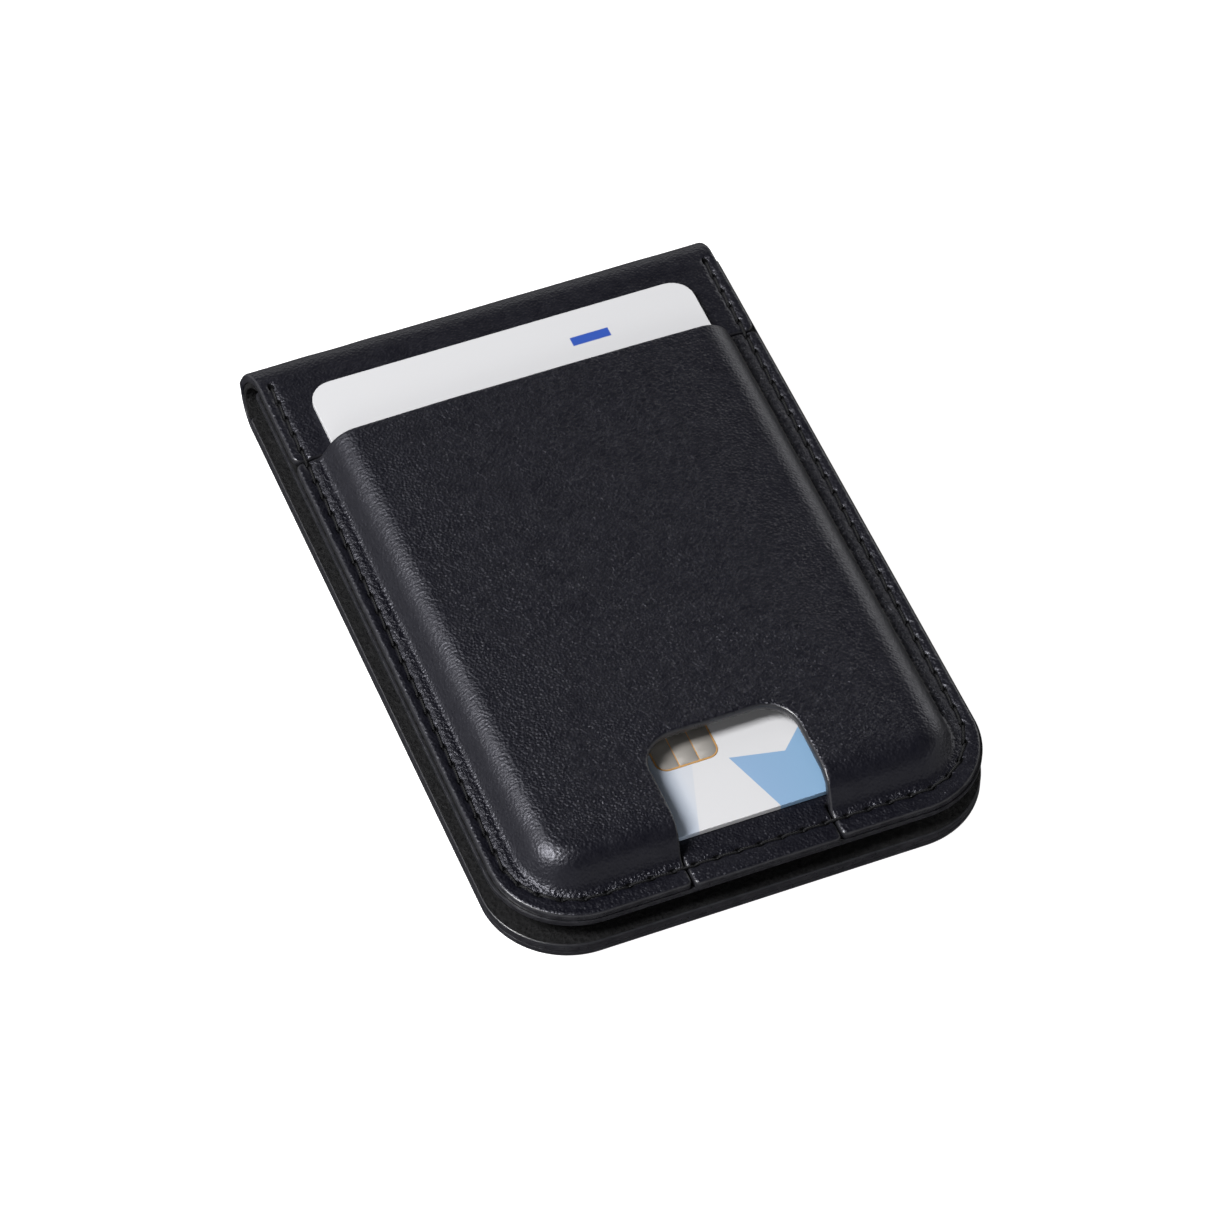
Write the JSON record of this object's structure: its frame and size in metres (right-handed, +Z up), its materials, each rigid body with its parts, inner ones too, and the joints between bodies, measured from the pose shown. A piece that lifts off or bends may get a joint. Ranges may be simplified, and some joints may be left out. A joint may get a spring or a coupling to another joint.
{
  "type": "magnetic bifold card holder",
  "caption": "Black leather bifold card holder with a formed pocket, thumb notch and magnetic back leaf.",
  "frame": {"origin": "centre of the closed holder's box, on the outer face of the back leaf", "axes": "+Y towards the fold, +X across the holder, +Z up through the pocket; the back leaf lies on z = 0"},
  "size_m": [0.0672, 0.1002, 0.0121],
  "materials": {
    "black_leather": "fine pebble grain, semi-matt, smooth painted edges",
    "suede_lining": "matt suede-like lining",
    "black_thread": "waxed polyester thread",
    "fibre_board": "matt pressed fibre",
    "nickel_magnet": "nickel plated",
    "shield_steel": "rolled sheet",
    "card_plastic": "satin laminated card",
    "contact_metal": "satin plated contacts"
  },
  "bodies": {
    "back_leaf": {"back_outer_leather": "black_leather", "back_inner_lining": "suede_lining", "magnet_board": "fibre_board", "magnet_arc_01": "nickel_magnet", "magnet_arc_02": "nickel_magnet", "magnet_arc_03": "nickel_magnet", "magnet_arc_04": "nickel_magnet", "magnet_arc_05": "nickel_magnet", "magnet_arc_06": "nickel_magnet", "magnet_arc_07": "nickel_magnet", "magnet_arc_08": "nickel_magnet", "magnet_arc_09": "nickel_magnet", "magnet_arc_10": "nickel_magnet", "magnet_arc_11": "nickel_magnet", "magnet_arc_12": "nickel_magnet", "magnet_arc_13": "nickel_magnet", "magnet_arc_14": "nickel_magnet", "magnet_arc_15": "nickel_magnet", "magnet_arc_16": "nickel_magnet", "alignment_magnet": "nickel_magnet"},
    "fold": {"fold_leather": "black_leather", "fold_lining": "suede_lining"},
    "front_leaf": {"pocket_panel": "black_leather", "wrap_front_section": "black_leather", "front_underside_leather": "suede_lining", "front_shield_plate": "shield_steel", "stitch_top_thread": "black_thread", "stitch_under_thread": "black_thread"},
    "card": {"card_body": "card_plastic", "card_contact_plate": "contact_metal"}
  },
  "joints": [
    {"name": "back_fold_hinge", "type": "hinge", "parent": "back_leaf", "child": "fold", "pos_m": [0, 0.04808, 0.00055], "axis": [1, 0, 0], "range_deg": [-90, 0], "deforming": ["fold_leather", "fold_lining"]},
    {"name": "front_fold_hinge", "type": "hinge", "parent": "fold", "child": "front_leaf", "pos_m": [0, 0.04808, 0.00765], "axis": [1, 0, 0], "range_deg": [-90, 0]},
    {"name": "card_slide", "type": "slide", "parent": "front_leaf", "child": "card", "axis": [0, 0.9999, 0.014], "range_m": [0, 0.08]}
  ],
  "couplings": [
    {"joint": "front_fold_hinge", "follows": "back_fold_hinge", "ratio": 1}
  ]
}
